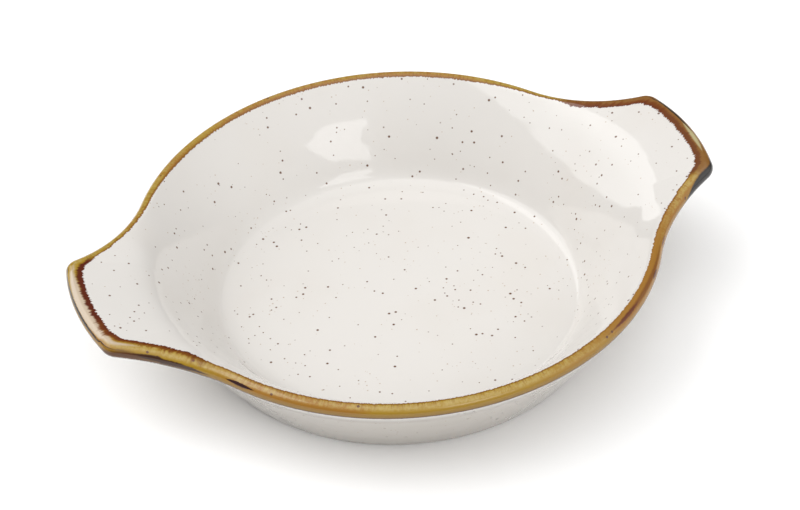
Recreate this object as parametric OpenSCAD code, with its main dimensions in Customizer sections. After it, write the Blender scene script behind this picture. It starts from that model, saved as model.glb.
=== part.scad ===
// Round egg dish with two ears, fired as one piece.
// It stands on its foot at z = 0 with its middle on the origin, and the ears point along +X and -X.

/* [Bowl] */
// Diameter over the round rim
rim_d = 180; // [164:1:190]
// Height of the round rim above the table
rim_h = 35; // [28:1:44]
// Diameter of the base, where the wall meets the table
base_d = 140; // [120:1:150]
// Thickness of the wall at its base, at the inside corner with the floor
wall_base_t = 9; // [7:0.1:10]
// Thickness of the floor above the recess
floor_t = 3.2; // [2.5:0.1:5]
// Radius of the round lip
lip_r = 2.6; // [2:0.1:3.2]
// How far the round of the lip stands out over the wall's outer face
lip_overhang = 0.4; // [0:0.1:0.8]
// Lean of the inner face against the outer one at the lip, in degrees
lip_lean = 14; // [8:1:18]

/* [Well] */
// Height of the inside corner above the flat floor
well_rise = 1.5; // [0.8:0.1:2.5]
// Width of the floor's rising edge, from the flat floor to the inside corner
well_edge_w = 7; // [5:0.5:12]
// Length of the corner's curve along the floor
well_in = 1.4; // [0.6:0.1:2.5]
// Length of the corner's curve up the wall
well_up = 5.3; // [3:0.1:8]

/* [Ears] */
// Length over both ears
ear_span = 224.4; // [214:0.2:250]
// Width of an ear across its two corners
ear_w = 50; // [40:1:64]
// Radius of an ear's tip, seen from above
tip_r = 82; // [60:1:120]
// Radius of an ear's corners, seen from above
corner_r = 6; // [4:0.1:12]
// Radius of the hollow on each side of an ear, seen from above
flank_r = 66; // [40:1:100]
// Height of an ear's tip above the round rim
ear_rise = 5.9; // [1:0.1:12]
// Distance from the middle of the dish at which the lip starts to rise
rise_from = 72; // [50:1:80]
// Sweep of the rise: 1 is a straight slope, and more is a curve that steepens
rise_sweep = 1.5; // [1.2:0.1:2.5]
// Length of wall over which it bends out into an ear
bend_l = 8; // [5:0.5:11]

/* [Foot] */
// Width of the ring that touches the table
foot_w = 5; // [3:0.5:8]
// Depth of the recess inside the ring
recess_h = 1; // [0.5:0.1:2]
// Radius of the outer edge of the foot
foot_edge_r = 1.5; // [0.5:0.1:2.5]

/* [Hidden] */

// Steps along each stretch of a quarter of the lip
tip_steps = 4;
corner_steps = 5;
flank_steps = 6;
rim_steps = 9;

// Steps along each stretch of the section
edge_steps = 4;
well_steps = 7;
wall_steps = 5;
bend_steps = 6;
lip_steps = 7;
foot_steps = 3;

function direction(v) = atan2(v.y, v.x);
function unit(v) = v / norm(v);
function polar(a) = [cos(a), sin(a)];
function mix(a, b, k) = a * (1 - k) + b * k;
function limit(k) = max(0, min(1, k));
function ease(k) = k * k * (3 - 2 * k);
function backwards(list) = [for (i = [len(list) - 1 : -1 : 0]) list[i]];
// Angle between the sides a and b of a triangle whose third side is c
function angle_between(a, b, c) = acos((a * a + b * b - c * c) / (2 * a * b));

// The lip's centre line, as [distance from the middle, height]
lip_line = [rim_d / 2 - lip_r, rim_h - lip_r];

// The wall's outer face starts at the base and passes the lip's centre line at outer_t
outer_t = lip_r - lip_overhang;
wall_foot = [base_d / 2, 0];
wall_run = lip_line - wall_foot;
wall_a = direction(wall_run) - asin(outer_t / norm(wall_run));
wall_dir = polar(wall_a);
wall_in = polar(wall_a + 90);
bend_start = lip_line - bend_l * wall_dir;

// The inner face flares: its distance from the wall's middle line, s below the lip's centre, eases off downwards.
// well_s is where it reaches the inside corner.
floor_z = recess_h + floor_t;
well_t = wall_base_t - outer_t;
well_s = (lip_line.y + well_t * cos(wall_a) - floor_z - well_rise) / sin(wall_a);
ease_off = (lip_r / cos(lip_lean) + tan(lip_lean) * well_s - well_t) / pow(well_s, 2);
function inner_t(s) = lip_r / cos(lip_lean) + tan(lip_lean) * s - ease_off * s * s;
function inner_face(s) = lip_line - s * wall_dir + inner_t(s) * wall_in;
function inner_slope(s) = wall_a - atan(tan(lip_lean) - 2 * ease_off * s);

// The floor's edge rises in an arc towards the corner
well_corner = inner_face(well_s);
flat_r = well_corner.x - well_edge_w;
edge_r = (pow(well_edge_w, 2) + pow(well_rise, 2)) / (2 * well_rise);
edge_a = asin(well_edge_w / edge_r) - well_in / edge_r * 180 / PI;
edge_section = turn([flat_r, floor_z + edge_r], edge_r, -90, edge_a - 90, edge_steps);

// The corner is a curve that is tight on the floor's side and opens out up the wall
well_from = edge_section[edge_steps];
well_to = inner_face(well_s - well_up);
well_mid = crossing(well_from, edge_a, well_to, inner_slope(well_s - well_up));

// Section from the flat floor up to the wall's bend
floor_section = concat(
    edge_section,
    [for (i = [1 : well_steps]) let (t = i / well_steps)
        mix(mix(well_from, well_mid, t), mix(well_mid, well_to, t), t)],
    [for (i = [1 : wall_steps - 1]) inner_face(mix(well_s - well_up, bend_l, i / wall_steps))]
);

// Section of the foot, from the wall to the recess
foot_section = concat(
    turn([wall_foot.x - foot_edge_r * tan(wall_a / 2), foot_edge_r], foot_edge_r, wall_a - 90, -90, foot_steps),
    [wall_foot - [foot_w, 0], wall_foot + [-foot_w - recess_h, recess_h]]
);

function turn(centre, r, from, to, steps) = [for (i = [0 : steps]) centre + r * polar(mix(from, to, i / steps))];
// Where the line through p at angle a meets the line through q at angle b
function crossing(p, a, q, b) = p + polar(a) * cross(q - p, polar(b)) / cross(polar(a), polar(b));

// Plan of an ear: a tip arc, a corner arc and a hollow flank arc, each tangent to the next
tip_c = [ear_span / 2 - tip_r, 0];
corner_y = ear_w / 2 - corner_r;
corner_c = [tip_c.x + sqrt(pow(tip_r - corner_r, 2) - pow(corner_y, 2)), corner_y];
flank_reach = rim_d / 2 + flank_r;
flank_a = direction(corner_c) + angle_between(norm(corner_c), flank_reach, flank_r + corner_r);
flank_c = flank_reach * polar(flank_a);
corner_from = direction(corner_c - tip_c);
corner_to = direction(flank_c - corner_c);

// A point of the lip's centre line in plan, with the direction that points out of the dish there.
// side is 1 where the arc's centre lies inside the dish, and -1 where it lies outside.
function lip_point(centre, r, a, side = 1) = [centre + (r - side * lip_r) * polar(a), side * polar(a)];
function lip_arc(centre, r, from, to, steps, side = 1) =
    [for (i = [0 : steps - 1]) lip_point(centre, r, mix(from, to, i / steps), side)];
function mirrored(point, sx, sy) = [for (v = point) [sx * v.x, sy * v.y]];

// The lip between the tip of an ear and a quarter turn, without either end
lip_tip = lip_point(tip_c, tip_r, 0);
lip_side = lip_point([0, 0], rim_d / 2, 90);
lip_quarter = [for (i = [1 : tip_steps + corner_steps + flank_steps + rim_steps - 1]) concat(
    lip_arc(tip_c, tip_r, 0, corner_from, tip_steps),
    lip_arc(corner_c, corner_r, corner_from, corner_to, corner_steps),
    lip_arc(flank_c, flank_r, corner_to + 180, flank_a + 180, flank_steps, -1),
    lip_arc([0, 0], rim_d / 2, flank_a, 90, rim_steps)
)[i]];

// The lip once round, from one ear's tip
lip = concat(
    [lip_tip], lip_quarter,
    [lip_side], [for (p = backwards(lip_quarter)) mirrored(p, -1, 1)],
    [mirrored(lip_tip, -1, 1)], [for (p = lip_quarter) mirrored(p, -1, -1)],
    [mirrored(lip_side, 1, -1)], [for (p = backwards(lip_quarter)) mirrored(p, 1, -1)]
);

// Height that an ear adds to the lip's centre line
function rise(x) = ear_rise * pow(limit((abs(x) - rise_from) / (ear_span / 2 - lip_r - rise_from)), rise_sweep);

// The middle of the wall runs up from bend_start and bends out into the ear, as one cubic curve in the section
function bend_points(reach, height) =
    let (end = [reach, height], k = limit((reach - lip_line.x) / bend_l))
    [bend_start, bend_start + bend_l * mix(1 / 3, 1, ease(k)) * wall_dir,
     mix(end - (end - bend_start) / 3, lip_line, ease(sqrt(k))), end];
function curve_at(p, t) =
    pow(1 - t, 3) * p[0] + 3 * t * pow(1 - t, 2) * p[1] + 3 * t * t * (1 - t) * p[2] + pow(t, 3) * p[3];
function slope_at(p, t) =
    direction(pow(1 - t, 2) * (p[1] - p[0]) + 2 * t * (1 - t) * (p[2] - p[1]) + t * t * (p[3] - p[2]));

// Depth below the lip that the inner face's thickness is read at. An ear's curve starts off faster than the round
// wall's, and the power takes that up, so that the inner face runs into the bend without a kink.
function read_depth(p, t) = bend_l * pow(1 - t, 3 * norm(p[1] - p[0]) / bend_l);

// A point of one face of the bending wall: side is 1 for the inner face and -1 for the outer one
function face_point(p, inward, outward, t, side) =
    let (at = curve_at(p, t), a = slope_at(p, t) + side * 90,
         half = side > 0 ? inner_t(read_depth(p, t)) : mix(outer_t, lip_r, ease(t)),
         plan = at.x * inward + half * cos(a) * unit(mix(inward, outward, t)))
    [plan.x, plan.y, at.y + half * sin(a)];

// The whole section at one point of the lip: floor, inner face, round lip, outer face and foot
function section(point) =
    let (ray = unit(point[0]), out = point[1], height = lip_line.y + rise(point[0].x),
         p = bend_points(norm(point[0]), height), end_a = slope_at(p, 1))
    concat(
        [for (q = floor_section) [q.x * ray.x, q.x * ray.y, q.y]],
        [for (i = [0 : bend_steps]) face_point(p, ray, out, i / bend_steps, 1)],
        [for (i = [0 : lip_steps])
            let (a = mix(end_a + 90 - lip_lean, end_a - 90, i / lip_steps), plan = point[0] + lip_r * cos(a) * out)
            [plan.x, plan.y, height + lip_r * sin(a)]],
        [for (i = [bend_steps - 1 : -1 : 0]) face_point(p, ray, out, i / bend_steps, -1)],
        [for (q = foot_section) [q.x * ray.x, q.x * ray.y, q.y]]
    );

module dish() {
    sections = [for (point = lip) section(point)];
    rounds = len(sections);
    along = len(sections[0]);
    color("#ece4d8") polyhedron(
        points = [for (s = sections) each s],
        faces = concat(
            [[for (i = [rounds - 1 : -1 : 0]) i * along]],
            [[for (i = [0 : rounds - 1]) i * along + along - 1]],
            [for (i = [0 : rounds - 1]) let (here = i * along, next = (i + 1) % rounds * along)
                for (j = [0 : along - 2]) each [
                    [here + j, next + j, next + j + 1],
                    [here + j, next + j + 1, here + j + 1]
                ]]
        ),
        convexity = 6
    );
}

dish();
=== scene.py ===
# Speckled egg dish with a brown edge, standing on a white studio table.
# All lengths are metres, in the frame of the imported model.
from math import acos, asin, atan, atan2, cos, pi, radians, sin, sqrt, tan

import bmesh
import bpy
from mathutils import Matrix, Vector


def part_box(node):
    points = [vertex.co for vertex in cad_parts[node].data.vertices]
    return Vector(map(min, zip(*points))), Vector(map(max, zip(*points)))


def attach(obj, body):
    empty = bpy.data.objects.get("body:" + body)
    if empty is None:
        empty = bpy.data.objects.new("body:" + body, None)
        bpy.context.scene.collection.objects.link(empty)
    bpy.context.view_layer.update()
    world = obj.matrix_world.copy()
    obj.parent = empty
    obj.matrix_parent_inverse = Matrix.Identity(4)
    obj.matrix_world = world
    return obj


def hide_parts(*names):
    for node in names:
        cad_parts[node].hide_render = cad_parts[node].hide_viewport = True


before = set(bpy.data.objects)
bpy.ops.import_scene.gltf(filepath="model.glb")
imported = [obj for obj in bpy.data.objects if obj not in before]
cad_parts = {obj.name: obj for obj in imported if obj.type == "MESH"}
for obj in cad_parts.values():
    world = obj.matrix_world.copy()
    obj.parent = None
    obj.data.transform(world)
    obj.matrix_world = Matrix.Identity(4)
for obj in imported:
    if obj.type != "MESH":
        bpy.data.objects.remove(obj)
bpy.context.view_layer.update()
print("frame loaded:", sorted(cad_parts))


dishSize = {
    "rimHeight": 0.035,       # round rim above the table
    "baseRadius": 0.070,      # where the wall meets the table
    "wallBase": 0.009,        # wall at the inside corner with the floor
    "floor": 0.0032,          # floor above the recess
    "lipRadius": 0.0026,
    "lipOverhang": 0.0004,    # how far the lip stands out over the wall's outer face
    "lipLean": 14,            # degrees between the inner and the outer face at the lip
    "wellRise": 0.0015,       # height of the inside corner above the flat floor
    "wellEdge": 0.007,        # width of the floor's rising edge
    "wellIn": 0.0014,         # the corner's curve, along the floor
    "wellUp": 0.0053,         # and up the wall
    "earWidth": 0.050,        # across an ear's two corners
    "tipRadius": 0.082,       # these three are radii seen from above
    "cornerRadius": 0.006,
    "flankRadius": 0.066,
    "riseFrom": 0.072,        # distance from the middle at which the lip starts to rise
    "riseSweep": 1.5,
    "bend": 0.008,            # length of wall that bends out into an ear
    "footWidth": 0.005,
    "recess": 0.001,
    "footEdge": 0.0015,       # radius of the foot's outer edge
    "recessEdge": 0.0005,     # radius of the edges round the recess
    "margin": 0.00002,        # keeps the smooth shape inside the faceted one's box
}
dishSteps = {
    "tip": 14, "corner": 16, "flank": 22, "rim": 34,                  # along a quarter of the lip
    "rise": 8, "well": 16, "wall": 12, "bend": 14, "lip": 22, "foot": 5, "edge": 3,    # along the section
}

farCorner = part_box("dish")[1]
earReach, rimRadius, tipHeight = (reach - dishSize["margin"] for reach in farCorner)


def polar(angle, length=1.0):
    return Vector((cos(angle), sin(angle))) * length


def heading(v):
    return atan2(v.y, v.x)


def blend(a, b, share):
    return a * (1 - share) + b * share


def clamp(share):
    return max(0.0, min(1.0, share))


def ease(share):
    return share * share * (3 - 2 * share)


def arc(centre, radius, start, end, steps):
    return [centre + polar(blend(start, end, i / steps), radius) for i in range(steps + 1)]


# the line of the lip's middle and of the wall, as (distance from the axis, height)
lipLine = Vector((rimRadius - dishSize["lipRadius"], dishSize["rimHeight"] - dishSize["lipRadius"]))
wallFoot = Vector((dishSize["baseRadius"], 0))
wallRun = lipLine - wallFoot
outerHalf = dishSize["lipRadius"] - dishSize["lipOverhang"]
wallSlope = heading(wallRun) - asin(outerHalf / wallRun.length)
bendStart = lipLine - polar(wallSlope, dishSize["bend"])
floorTop = dishSize["recess"] + dishSize["floor"]

# the inner face flares: it leans away from the outer one at the lip, and eases off down to the corner
lean = tan(radians(dishSize["lipLean"]))
lipHalf = dishSize["lipRadius"] / cos(radians(dishSize["lipLean"]))
wellHalf = dishSize["wallBase"] - outerHalf
wellDepth = (lipLine.y + wellHalf * cos(wallSlope) - floorTop - dishSize["wellRise"]) / sin(wallSlope)
easeOff = (lipHalf + lean * wellDepth - wellHalf) / wellDepth ** 2


def innerHalf(depth):
    return lipHalf + lean * depth - easeOff * depth ** 2


def innerFace(depth):
    return lipLine - polar(wallSlope, depth) + polar(wallSlope + pi / 2, innerHalf(depth))


# from the flat floor up its rising edge, round the corner and up to the bend
def floorSection():
    width, rise = dishSize["wellEdge"], dishSize["wellRise"]
    radius = (width ** 2 + rise ** 2) / (2 * rise)
    turn = asin(width / radius) - dishSize["wellIn"] / radius
    centre = Vector((innerFace(wellDepth).x - width, floorTop + radius))
    spots = arc(centre, radius, -pi / 2, turn - pi / 2, dishSteps["rise"])
    start, topDepth = spots[-1], wellDepth - dishSize["wellUp"]
    end, slope = innerFace(topDepth), wallSlope - atan(lean - 2 * easeOff * topDepth)
    leg = (end - start).cross(polar(slope)) / polar(turn).cross(polar(slope))
    middle = start + polar(turn, leg)
    for i in range(1, dishSteps["well"] + 1):
        t = i / dishSteps["well"]
        spots.append(blend(blend(start, middle, t), blend(middle, end, t), t))
    for i in range(1, dishSteps["wall"]):
        spots.append(innerFace(blend(topDepth, dishSize["bend"], i / dishSteps["wall"])))
    return spots


def footSection():
    radius, small = dishSize["footEdge"], dishSize["recessEdge"]
    centre = Vector((wallFoot.x - radius * tan(wallSlope / 2), radius))
    outside = arc(centre, radius, wallSlope - pi / 2, -pi / 2, dishSteps["foot"])
    # the inner side of the foot slopes up into the recess at half a right angle
    setBack = small * tan(pi / 8)
    ringEnd = wallFoot.x - dishSize["footWidth"]
    down = arc(Vector((ringEnd + setBack, small)), small, -pi / 2, -3 * pi / 4, dishSteps["edge"])
    recessEnd = ringEnd - dishSize["recess"]
    top = Vector((recessEnd - setBack, dishSize["recess"] - small))
    up = arc(top, small, pi / 4, pi / 2, dishSteps["edge"])
    return outside + down + up


# plan of an ear: tip arc, corner arc and hollow flank arc, each tangent to the next
def lipQuarter():
    size = dishSize
    tipMiddle = Vector((earReach - size["tipRadius"], 0))
    reach = size["tipRadius"] - size["cornerRadius"]
    cornerY = size["earWidth"] / 2 - size["cornerRadius"]
    corner = Vector((tipMiddle.x + sqrt(reach ** 2 - cornerY ** 2), cornerY))
    far, near = rimRadius + size["flankRadius"], size["flankRadius"] + size["cornerRadius"]
    opening = acos((corner.length ** 2 + far ** 2 - near ** 2) / (2 * corner.length * far))
    flankTurn = heading(corner) + opening
    flank = polar(flankTurn, far)
    fromTip, toFlank = heading(corner - tipMiddle), heading(flank - corner)
    arcs = [(tipMiddle, size["tipRadius"], 0, fromTip, dishSteps["tip"], 1),
            (corner, size["cornerRadius"], fromTip, toFlank, dishSteps["corner"], 1),
            (flank, size["flankRadius"], toFlank + pi, flankTurn + pi, dishSteps["flank"], -1),
            (Vector((0, 0)), rimRadius, flankTurn, pi / 2, dishSteps["rim"], 1)]
    points = []
    for centre, radius, start, end, steps, side in arcs:
        for i in range(steps):
            out = polar(blend(start, end, i / steps))
            points.append((centre + out * (radius - side * size["lipRadius"]), out * side))
    points.append((Vector((0, lipLine.x)), Vector((0, 1))))
    return points


def lipRound():
    quarter = lipQuarter()
    mirror = lambda points, sx, sy: [tuple(Vector((v.x * sx, v.y * sy)) for v in p) for p in points]
    return (quarter[:-1] + mirror(quarter[:0:-1], -1, 1)
            + mirror(quarter[:-1], -1, -1) + mirror(quarter[:0:-1], 1, -1))


def lipRise(x):
    climb = tipHeight - dishSize["rimHeight"]
    span = earReach - dishSize["lipRadius"] - dishSize["riseFrom"]
    return climb * clamp((abs(x) - dishSize["riseFrom"]) / span) ** dishSize["riseSweep"]


# the middle of the wall runs up and bends out into the ear, as one cubic curve in the section
def bendCurve(reach, height):
    end = Vector((reach, height))
    share = clamp((reach - lipLine.x) / dishSize["bend"])
    second = bendStart + polar(wallSlope, dishSize["bend"] * blend(1 / 3, 1, ease(share)))
    third = blend(end - (end - bendStart) / 3, lipLine, ease(sqrt(share)))
    return bendStart, second, third, end


def curveAt(p, t):
    s = 1 - t
    return p[0] * s ** 3 + p[1] * 3 * t * s * s + p[2] * 3 * t * t * s + p[3] * t ** 3


def slopeAt(p, t):
    s = 1 - t
    return heading((p[1] - p[0]) * s * s + (p[2] - p[1]) * 2 * t * s + (p[3] - p[2]) * t * t)


def facePoint(p, inward, outward, t, side):
    at, angle = curveAt(p, t), slopeAt(p, t) + side * pi / 2
    half = blend(outerHalf, dishSize["lipRadius"], ease(t))
    if side > 0:
        # an ear's curve starts off faster than the round wall's, and the power takes that up
        half = innerHalf(dishSize["bend"] * (1 - t) ** (3 * (p[1] - p[0]).length / dishSize["bend"]))
    plan = inward * at.x + blend(inward, outward, t).normalized() * half * cos(angle)
    return Vector((plan.x, plan.y, at.y + half * sin(angle)))


# the whole section at one place of the lip, from the middle of the floor to the middle of the recess
def sectionAt(place, out):
    ray = place.normalized()
    height = lipLine.y + lipRise(place.x)
    p = bendCurve(place.length, height)
    steps, radius = dishSteps["bend"], dishSize["lipRadius"]
    spots = [Vector((0, 0, floorTop))]
    spots += [Vector((ray.x * q.x, ray.y * q.x, q.y)) for q in floorSection()]
    spots += [facePoint(p, ray, out, i / steps, 1) for i in range(steps + 1)]
    endSlope = slopeAt(p, 1)
    lipStart = endSlope + pi / 2 - radians(dishSize["lipLean"])
    for i in range(dishSteps["lip"] + 1):
        angle = blend(lipStart, endSlope - pi / 2, i / dishSteps["lip"])
        plan = place + out * radius * cos(angle)
        spots.append(Vector((plan.x, plan.y, height + radius * sin(angle))))
    spots += [facePoint(p, ray, out, i / steps, -1) for i in reversed(range(steps))]
    spots += [Vector((ray.x * q.x, ray.y * q.x, q.y)) for q in footSection()]
    spots.append(Vector((0, 0, dishSize["recess"])))
    return spots


def crestDistances(spots):
    crest = max(range(len(spots)), key=lambda i: spots[i].z)
    walked = [0.0]
    for a, b in zip(spots, spots[1:]):
        walked.append(walked[-1] + (b - a).length)
    return [walked[crest] - w for w in walked]


# how far the brown edge reaches in from the crest, and where along the lip that changes
edgeReach = {
    "front": 0.0008, "back": 0.0019, "flank": 0.0008, "ear": 0.0030,
    "frontToBack": 0.06,                            # length over which the first turns into the second
    "flankFrom": 0.055, "flankOver": 0.022,         # towards an ear: from where, and over what length
    "earFrom": 0.0985, "earOver": 0.008,
    "runFrom": 0.079,                               # the edge widens earlier on one side of each ear
    "corner": 0.0008,                               # added at an ear's corners
    "cornerAt": (0.1035, 0.0225), "cornerCore": 0.002, "cornerOver": 0.007,
}


def reachAt(place):
    edge = edgeReach
    x, y = abs(place.x), abs(place.y)
    reach = blend(edge["front"], edge["back"], ease(clamp(place.y / edge["frontToBack"] + 0.5)))
    reach = blend(reach, edge["flank"], ease(clamp((x - edge["flankFrom"]) / edge["flankOver"])))
    start = edge["runFrom"] if place.x * place.y > 0 else edge["earFrom"]
    reach = blend(reach, edge["ear"], ease(clamp((x - start) / edge["earOver"])))
    away = (Vector((x, y)) - Vector(edge["cornerAt"])).length
    return reach + edge["corner"] * clamp(1 - (away - edge["cornerCore"]) / edge["cornerOver"]) ** 2


def makeDish():
    lip = lipRound()
    sections = [sectionAt(place, out) for place, out in lip]
    across = [crestDistances(spots) for spots in sections]

    # the section of the round rim, spun into a round dish
    mesh = bmesh.new()
    spotLayer = mesh.verts.layers.int.new("spot")
    crestLayer = mesh.verts.layers.float.new("fromCrest")
    bandLayer = mesh.verts.layers.float.new("fromBand")
    placeLayer = mesh.verts.layers.float_vector.new("lipPlace")
    start = sectionAt(Vector((0, lipLine.x)), Vector((0, 1)))
    verts = [mesh.verts.new((spot.y, 0, spot.z)) for spot in start]
    for i, vert in enumerate(verts):
        vert[spotLayer] = i
    edges = [mesh.edges.new(pair) for pair in zip(verts, verts[1:])]
    bmesh.ops.spin(mesh, geom=verts + edges, cent=(0, 0, 0), axis=(0, 0, 1), dvec=(0, 0, 0),
                   angle=2 * pi, steps=len(lip), use_merge=True, use_duplicate=False)
    bmesh.ops.remove_doubles(mesh, verts=mesh.verts, dist=1e-6)

    # each turn of the spin then goes to its place along the lip, which draws out the ears
    for vert in mesh.verts:
        turn = round(atan2(vert.co.y, vert.co.x) / (2 * pi) * len(lip)) % len(lip)
        spot = vert[spotLayer]
        vert[crestLayer] = across[turn][spot]
        vert[bandLayer] = across[turn][spot] - reachAt(lip[turn][0])
        vert[placeLayer] = (*lip[turn][0], 0)
        vert.co = sections[turn][spot]
    bmesh.ops.recalc_face_normals(mesh, faces=mesh.faces)
    for face in mesh.faces:
        face.smooth = True
    data = bpy.data.meshes.new("glazedDish")
    mesh.to_mesh(data)
    mesh.free()
    dish = bpy.data.objects.new("glazedDish", data)
    bpy.context.collection.objects.link(dish)
    print("dish made:", len(data.polygons), "faces")
    return dish


# wraps a node's output, so that shader maths is written as Python expressions
class Flow:
    def __init__(self, finish, socket):
        self.finish, self.socket = finish, socket

    def maths(self, operation, *values):
        return self.finish.maths(operation, *values)

    def __add__(self, other):
        return self.maths("ADD", self, other)

    def __radd__(self, other):
        return self.maths("ADD", other, self)

    def __sub__(self, other):
        return self.maths("SUBTRACT", self, other)

    def __rsub__(self, other):
        return self.maths("SUBTRACT", other, self)

    def __mul__(self, other):
        return self.maths("MULTIPLY", self, other)

    def __rmul__(self, other):
        return self.maths("MULTIPLY", other, self)

    def __abs__(self):
        return self.maths("ABSOLUTE", self)

    def below(self, other):
        return self.maths("LESS_THAN", self, other)

    def output(self, name):
        return Flow(self.finish, self.socket.node.outputs[name])


class Finish:
    def __init__(self, owner, shader="Principled BSDF"):
        owner.use_nodes = True
        self.tree = owner.node_tree
        self.shader = self.tree.nodes[shader]

    def plug(self, socket, value):
        if isinstance(value, Flow):
            self.tree.links.new(value.socket, socket)
        else:
            socket.default_value = value

    def add(self, kind, settings=None, sockets=None, output=0):
        node = self.tree.nodes.new("ShaderNode" + kind)
        for name, value in (settings or {}).items():
            setattr(node, name, value)
        for name, value in (sockets or {}).items():
            self.plug(node.inputs[name], value)
        return Flow(self, node.outputs[output])

    def give(self, **sockets):
        for name, value in sockets.items():
            self.plug(self.shader.inputs[name.replace("_", " ")], value)

    def maths(self, operation, *values):
        return self.add("Math", {"operation": operation}, dict(enumerate(values)))

    # 0 at start and 1 at end, turning smoothly
    def fade(self, value, start, end):
        return self.add("MapRange", {"interpolation_type": "SMOOTHSTEP"},
                        {"Value": value, "From Min": start, "From Max": end})

    def tint(self, share, first, second):
        return self.add("Mix", {"data_type": "RGBA"}, {0: share, 6: first, 7: second}, output=2)

    def noise(self, vector, size, detail=2.0, roughness=0.5):
        return self.add("TexNoise", {}, {"Vector": vector, "Scale": 1 / size, "Detail": detail,
                                         "Roughness": roughness})


glazeLook = {
    "white": (0.675, 0.650, 0.618, 1),
    "warm": (0.665, 0.636, 0.600, 1),       # faint warmer clouds in the white
    "outerShadedWhite": (0.49, 0.455, 0.410, 1),  # painted shade: the outer wall, which faces down, is darker and warmer
    "speck": (0.12, 0.05, 0.022, 1),
    "tanSpeck": (0.37, 0.23, 0.125, 1),
    "gold": (0.33, 0.195, 0.014, 1),
    "rust": (0.30, 0.125, 0.018, 1),        # warmer stretches of the gold
    "honey": (0.42, 0.31, 0.085, 1),        # on the crest: thinner glaze, and partly a painted highlight
    "amber": (0.18, 0.062, 0.004, 1),       # the fringe of the round rim
    "brown": (0.25, 0.14, 0.016, 1),        # the underside of the lip
    "line": (0.10, 0.042, 0.009, 1),        # the lower edge
    "chestnut": (0.095, 0.015, 0.004, 1),   # the fringe of the ears
    "comb": (0.155, 0.040, 0.003, 1),       # the broad run of the edge beside an ear
    "earBrown": (0.19, 0.075, 0.018, 1),
    "roughness": 0.055, "ior": 1.52,
    "swell": 0.011, "swellHeight": 0.0004, "swellStrength": 0.25,    # the glaze isn't quite flat
}

# the white: sizes of its noises, and between which of their values or distances from the crest each fade runs
whiteLook = {
    "clouds": (0.03, 2), "warmFade": (0.45, 0.75),
    "outerShadeFade": (-0.003, -0.012),
    "gathering": (0.022, 1), "gatherFade": (0.42, 0.66),
    "crowdCore": 0.3,             # share of a crowd's reach that is full of specks
}

# layers of specks: what they follow, spacing, smallest and largest radius, share of places outside what they
# follow and what is added inside it, and strength
speckLayers = [
    {"colour": "tanSpeck", "follow": "crowds", "spacing": 0.0015, "radius": (0.00016, 0.00030),
     "share": (0.0, 0.7), "strength": 0.6},
    {"colour": "tanSpeck", "follow": "gathering", "spacing": 0.0020, "radius": (0.00014, 0.00028),
     "share": (0.16, 0.5), "strength": 0.65},
    {"colour": "speck", "follow": "gathering", "spacing": 0.0028, "radius": (0.00023, 0.00049),
     "share": (0.42, 0.5), "strength": 0.95},
]
speckBorder = 0.3                 # softness of a speck's border, as a share of its radius

# where faint specks crowd together: place and reach
speckCrowds = [((-0.068, 0.013, 0.014), 0.018), ((-0.036, 0.048, 0.008), 0.015),
               ((-0.010, 0.048, 0.012), 0.006), ((0.043, -0.006, 0.0042), 0.006),
               ((-0.026, -0.036, 0.0042), 0.007), ((-0.043, 0.013, 0.0042), 0.007)]

# noises of the brown edge: size, detail and roughness
edgeNoise = {
    "teeth": (0.0006, 3, 0.7),
    "grain": (0.0008, 2),
    "fine": (0.0011, 4, 0.7),
    "streak": (0.0018, 3, 0.6),
    "combed": (0.0007, 2, 0.6),
    "stretches": (0.05, 1),
}

# the brown edge in metres: distances from the crest (inside +), depths from the inner border and places along
# the lip; the ranges of rust, honey and combed are values of their noise
edgeLook = {
    "ear": (0.099, 0.104),            # towards an ear, from the middle of the dish
    "run": (0.078, 0.086),
    "runSide": (0.0008, 0.0016),      # of x times y, so on one side of each ear
    "right": (-0.01, 0.01),
    "teeth": 0.0014, "teethBroad": 0.0018, "grain": 0.0006,    # how far the noises move the inner border
    "border": 0.00012,
    "lower": -0.0052, "lowerBroad": 0.0006, "lowerBorder": 0.00015, "lowerMove": 0.4,
    "rust": (0.48, 0.62),
    "crestInside": (0.0012, -0.0001), "crestOutside": (-0.0026, -0.0013),
    "honey": (0.36, 0.62), "honeyMix": (0.6, 0.4),     # of the fine noise and the streaks
    "combed": (0.48, 0.66), "combedDepth": (0.0026, 0.0006),
    "under": (-0.0022, -0.0044), "underMove": 0.001,
    "line": (0.0012, 0.0002),         # above the lower border
    "fringe": (0.0010, 0.0001), "fringeMove": 0.0006,
    "patchMove": 0.0004,
    "chestnut": (0.0026, 0.0016), "chestnutMove": 0.0022,
    "comb": (0.0036, 0.0018), "combDark": (0.0020, 0.0002), "combMove": (0.005, 0.002),
}

# how strong each colour of the edge is, from 0 to 1
edgeShare = {"rust": 0.85, "honey": 0.8, "combed": 0.55, "earBrown": 0.85, "fringe": 0.9,
             "chestnutRight": 0.35, "comb": 0.9, "combDark": 0.8}

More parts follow.
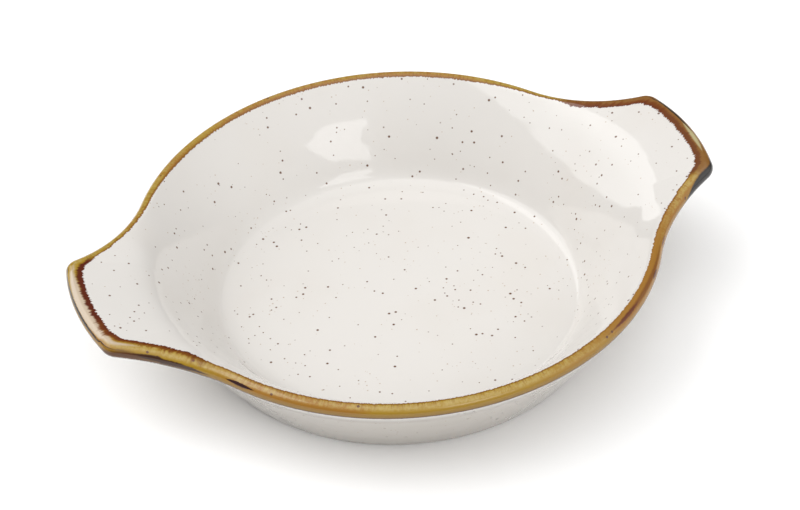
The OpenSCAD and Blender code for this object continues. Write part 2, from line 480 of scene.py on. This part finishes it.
# places where the brown edge looks different: (x, y) on the lip, distance from the crest, half length and
# half width, softness of the border from 0 to 1, and colour
lipPatches = [
    ((-0.1095, -0.0030), -0.0005, (0.0235, 0.0019), 0.35, (0.52, 0.42, 0.31, 1)),     # cream on the left ear: paler glaze on the crest, partly a painted highlight
    ((-0.1095, 0.0000), -0.0027, (0.0240, 0.0005), 0.30, (0.035, 0.026, 0.020, 1)),   # the line below it
    ((0.1090, -0.0065), -0.0003, (0.0080, 0.0008), 0.50, (0.42, 0.36, 0.19, 1)),      # painted highlight, olive, on the right ear
    ((0.1093, 0.0090), -0.0008, (0.0130, 0.0005), 0.25, (0.030, 0.024, 0.018, 1)),    # and its line
    ((0.1035, -0.0230), -0.0044, (0.0112, 0.0027), 0.15, (0.022, 0.019, 0.017, 1)),   # black at its corner
    ((-0.0724, -0.0489), -0.0026, (0.0055, 0.0006), 0.15, (0.030, 0.007, 0.006, 1)),  # lens, front left
    ((-0.0912, -0.0299), -0.0037, (0.0150, 0.0010), 0.25, (0.045, 0.016, 0.006, 1)),  # dark underside
    ((-0.1030, -0.0235), -0.0046, (0.0060, 0.0018), 0.60, (0.090, 0.030, 0.006, 1)),
    ((0.0620, -0.0630), -0.0006, (0.0360, 0.0022), 0.80, (0.300, 0.140, 0.020, 1)),   # rust, front right
    ((0.0590, -0.0655), -0.0016, (0.0240, 0.0007), 0.60, (0.200, 0.075, 0.014, 1)),   # dark dashes in it
    ((0.0487, -0.0723), -0.0016, (0.0075, 0.0006), 0.50, (0.120, 0.028, 0.008, 1)),
    ((0.0659, -0.0573), -0.0026, (0.0028, 0.0006), 0.50, (0.120, 0.035, 0.010, 1)),
    ((0.0759, -0.0440), -0.0026, (0.0028, 0.0004), 0.50, (0.120, 0.035, 0.010, 1)),
]
lipDots = [((-0.0654, -0.0579), -0.0019), ((-0.0440, -0.0755), -0.0007), ((0.0925, -0.0287), -0.0032),
           ((-0.0839, -0.0353), -0.0007), ((-0.0961, -0.0264), -0.0021), ((0.0411, -0.0771), -0.0016),
           ((-0.0144, 0.0862), -0.0003), ((-0.0640, 0.0600), -0.0004), ((0.0386, -0.0784), -0.0018)]
dotSize, dotSoftness = (0.00055, 0.00045), 0.3


# round dots in a share of the cells of a loose grid
def specks(finish, where, spacing, radii, share):
    cells = finish.add("TexVoronoi", {}, {"Vector": where, "Scale": 1 / spacing})
    chance = finish.add("SeparateColor", {}, {"Color": cells.output("Color")})
    size = chance.output("Green")
    radius = size * size * ((radii[1] - radii[0]) / spacing) + radii[0] / spacing
    dots = finish.fade(cells, radius * (1 + speckBorder), radius * (1 - speckBorder))
    return dots * chance.output("Red").below(share)


def distance(finish, where, place):
    return finish.add("VectorMath", {"operation": "DISTANCE"}, {0: where, 1: place}, "Value")


# 1 inside a lens-shaped patch that lies along the lip
def lipPatch(finish, along, across, at, off, size, softness):
    away = distance(finish, along, (*at, 0)) * (1 / size[0])
    side = abs(across - off) * (1 / size[1])
    return finish.fade(away * away + side, 1 + softness, 1 - softness)


# white glaze with its specks, which gather in places
def whiteGlaze(glaze, where, across):
    look, white = glazeLook, whiteLook
    clouds = glaze.fade(glaze.noise(where, *white["clouds"]), *white["warmFade"])
    colour = glaze.tint(clouds, look["white"], look["warm"])
    # painted shade: the white turns darker and warmer down the outer wall
    colour = glaze.tint(glaze.fade(across, *white["outerShadeFade"]), colour, look["outerShadedWhite"])
    crowds = 0.0
    for at, reach in speckCrowds:
        near = glaze.fade(distance(glaze, where, at), reach, reach * white["crowdCore"])
        crowds = glaze.maths("MAXIMUM", crowds, near)
    follow = {"crowds": crowds,
              "gathering": glaze.fade(glaze.noise(where, *white["gathering"]), *white["gatherFade"])}
    for layer in speckLayers:
        least, added = layer["share"]
        share = follow[layer["follow"]] * added + least
        dots = specks(glaze, where, layer["spacing"], layer["radius"], share)
        colour = glaze.tint(dots * layer["strength"], colour, look[layer["colour"]])
    return colour


# the brown edge: where it is, from 0 to 1, and its colour
def brownEdge(glaze, where, across):
    look, edge, share = glazeLook, edgeLook, edgeShare
    fromBand = glaze.add("Attribute", {"attribute_name": "fromBand"}, {}, "Fac")
    along = glaze.add("Attribute", {"attribute_name": "lipPlace"}, {}, "Vector")
    lipX = glaze.add("SeparateXYZ", {}, {"Vector": along}, "X")
    # the ears, with a run of the edge beside each that is broad too
    ear = glaze.fade(abs(lipX), *edge["ear"])
    run = glaze.fade(lipX * lipX.output("Y"), *edge["runSide"]) * glaze.fade(abs(lipX), *edge["run"])
    broad = glaze.maths("MAXIMUM", ear, run)
    right = glaze.fade(lipX, *edge["right"])

    # it ends on the white in a fine fringe
    teeth = glaze.noise(along, *edgeNoise["teeth"]) - 0.5
    grain = glaze.noise(where, *edgeNoise["grain"]) - 0.5
    fringe = teeth * (edge["teeth"] + broad * edge["teethBroad"]) + grain * edge["grain"]
    depth = fringe * -1.0 - fromBand
    inside = glaze.fade(depth, -edge["border"], edge["border"])
    lower = edge["lower"] - broad * edge["lowerBroad"]
    outside = glaze.fade(across + fringe * edge["lowerMove"], lower - edge["lowerBorder"],
                         lower + edge["lowerBorder"])

    # gold, warmer in long stretches, pale on the crest, partly a painted highlight, and brown below it
    fine = glaze.noise(where, *edgeNoise["fine"])
    streak = glaze.noise(along, *edgeNoise["streak"])
    stretches = glaze.fade(glaze.noise(where, *edgeNoise["stretches"]), *edge["rust"])
    brown = glaze.tint(stretches * share["rust"], look["gold"], look["rust"])
    crest = glaze.fade(across, *edge["crestInside"]) * glaze.fade(across, *edge["crestOutside"])
    fineShare, streakShare = edge["honeyMix"]
    # the pale crest: thinner glaze, and in part a painted highlight
    thinGlazeAndHighlight = glaze.fade(fine * fineShare + streak * streakShare, *edge["honey"])
    brown = glaze.tint(crest * thinGlazeAndHighlight * share["honey"], brown, look["honey"])
    combed = glaze.fade(glaze.noise(along, *edgeNoise["combed"]), *edge["combed"])
    combed = combed * glaze.fade(depth, *edge["combedDepth"])
    brown = glaze.tint(combed * share["combed"], brown, look["amber"])
    under = glaze.fade(across + grain * edge["underMove"], *edge["under"])
    brown = glaze.tint(under, brown, look["brown"])
    brown = glaze.tint(broad * right * share["earBrown"], brown, look["earBrown"])
    line = glaze.fade(across, *(edge["lower"] + above for above in edge["line"]))
    brown = glaze.tint(line, brown, look["line"])
    border = glaze.fade(depth + grain * edge["fringeMove"], *edge["fringe"])
    brown = glaze.tint(border * share["fringe"], brown, look["amber"])

    for at, off, size, softness, colour in lipPatches:
        patch = lipPatch(glaze, along, across + grain * edge["patchMove"], at, off, size, softness)
        brown = glaze.tint(patch, brown, colour)
    for at, off in lipDots:
        dot = lipPatch(glaze, along, across, at, off, dotSize, dotSoftness)
        brown = glaze.tint(dot, brown, look["speck"])

    # chestnut along the ears, and a comb of it beside them
    deep = glaze.fade(depth + (streak - 0.5) * edge["chestnutMove"], *edge["chestnut"])
    brown = glaze.tint(deep * ear * (1.0 - right * share["chestnutRight"]), brown, look["chestnut"])
    streakMove, grainMove = edge["combMove"]
    runDepth = depth + (streak - 0.5) * streakMove + grain * grainMove
    comb = glaze.fade(runDepth, *edge["comb"]) * run
    brown = glaze.tint(comb * share["comb"], brown, look["comb"])
    dark = glaze.fade(runDepth, *edge["combDark"]) * run
    brown = glaze.tint(dark * share["combDark"], brown, look["chestnut"])
    return inside * outside, brown


def glazeFinish():
    look = glazeLook
    material = bpy.data.materials.new("speckledGlaze")
    glaze = Finish(material)
    where = glaze.add("TexCoord", {}, {}, "Object")
    across = glaze.add("Attribute", {"attribute_name": "fromCrest"}, {}, "Fac")
    share, brown = brownEdge(glaze, where, across)
    colour = glaze.tint(share, whiteGlaze(glaze, where, across), brown)
    swell = glaze.add("Bump", {}, {"Strength": look["swellStrength"], "Distance": look["swellHeight"],
                                   "Height": glaze.noise(where, look["swell"], 1)})
    glaze.give(Base_Color=colour, Roughness=look["roughness"], IOR=look["ior"], Normal=swell)
    return material


tableLook = {
    "white": (0.98, 0.98, 0.98, 1),
    "halfSize": 4,
    "drop": 0.00005,          # keeps it off the foot
}


def tableTop():
    material = bpy.data.materials.new("tableTop")
    Finish(material).give(Base_Color=tableLook["white"], Roughness=1.0, Specular_IOR_Level=0.0)
    mesh = bmesh.new()
    bmesh.ops.create_grid(mesh, x_segments=1, y_segments=1, size=tableLook["halfSize"])
    bmesh.ops.translate(mesh, verts=mesh.verts, vec=(0, 0, -tableLook["drop"]))
    data = bpy.data.meshes.new("tableTop")
    mesh.to_mesh(data)
    mesh.free()
    table = bpy.data.objects.new("tableTop", data)
    data.materials.append(material)
    bpy.context.collection.objects.link(table)


# the studio's panels, each cut out of the sky by planes through the dish: the side that a plane faces is lit
panels = {
    "key": {"glow": 1.95, "planes": [(-0.999, -0.035, 0.0), (0.396, 0.74, 0.544), (0.507, 0.548, 0.665),
                                    (0.521, 0.308, 0.796), (0.446, 0.132, 0.885), (0.282, -0.02, 0.959),
                                    (-0.476, -0.377, 0.794), (-0.774, 0.532, -0.342), (-0.423, 0.906, 0.0)]},
    "window": {"glow": 2.3, "planes": [(-0.734, 0.136, 0.665), (-0.317, -0.674, -0.667),
                                       (0.0, -0.677, -0.732), (0.992, -0.122, 0.016),
                                       (0.015, 0.487, 0.873), (-0.494, 0.341, 0.8)],
               "head": (-0.102, -0.795, 0.598)},    # a stand's round head, in front of the window
}
panelEdge = 0.006
headLook = {"turn": 3.2, "edge": 0.3}    # half the angle that it covers, and of its border, in degrees

# soft lights without an edge: the higher the power, the narrower they are
softLights = {
    "overhead": {"glow": 1.72, "towards": (0, 0, 1), "power": 6.0},
    "front": {"glow": 1.2, "towards": (0.133, -0.754, 0.643), "power": 6.0},
    "lowRight": {"glow": 1.22, "towards": (0.814, -0.47, 0.342), "power": 8.0},
    "left": {"glow": 0.45, "towards": (-0.766, 0.0, 0.643), "power": 6.0},
}
worldGlow = 0.1


def makeLight():
    world = bpy.data.worlds.new("studio")
    sky = Finish(world, "Background")
    look = sky.add("TexCoord", {}, {}, "Generated")
    facing = lambda way: sky.add("VectorMath", {"operation": "DOT_PRODUCT"}, {0: look, 1: way}, "Value")
    glow = worldGlow
    for light in softLights.values():
        near = sky.maths("MAXIMUM", facing(light["towards"]), 0.0)
        glow = sky.maths("POWER", near, light["power"]) * light["glow"] + glow
    for panel in panels.values():
        lit = panel["glow"]
        for plane in panel["planes"]:
            lit = lit * sky.fade(facing(plane), -panelEdge, panelEdge)
        if "head" in panel:
            inner, outer = (cos(radians(headLook["turn"] + side * headLook["edge"])) for side in (-1, 1))
            lit = lit * sky.fade(facing(panel["head"]), inner, outer)
        glow = glow + lit
    sky.give(Color=(1, 1, 1, 1), Strength=glow)
    bpy.context.scene.world = world


photoView = {"turn": -20.792, "lift": 40.378, "roll": -2.965, "distance": 0.769239,
             "aim": (0, 0, 0.0175), "slide": (-0.000824, -0.002919), "lens": 100.92}


def makeCamera():
    turn, lift, roll = (radians(photoView[name]) for name in ("turn", "lift", "roll"))
    back = Vector((sin(turn) * cos(lift), -cos(turn) * cos(lift), sin(lift)))
    right = Vector((cos(turn), sin(turn), 0))
    up = back.cross(right)
    slide = photoView["slide"]
    data = bpy.data.cameras.new("photoCamera")
    data.lens = photoView["lens"]
    camera = bpy.data.objects.new("photoCamera", data)
    place = Vector(photoView["aim"]) - right * slide[0] - up * slide[1] + back * photoView["distance"]
    axes = (right * cos(roll) + up * sin(roll), up * cos(roll) - right * sin(roll), back)
    camera.matrix_world = Matrix.Translation(place) @ Matrix(axes).transposed().to_4x4()
    bpy.context.collection.objects.link(camera)
    bpy.context.scene.camera = camera


dish = makeDish()
dish.data.materials.append(glazeFinish())
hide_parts("dish")
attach(dish, "root")
print("glaze made")

tableTop()
makeLight()
makeCamera()
bpy.context.scene.view_settings.view_transform = "Standard"
print("table, light and camera made")
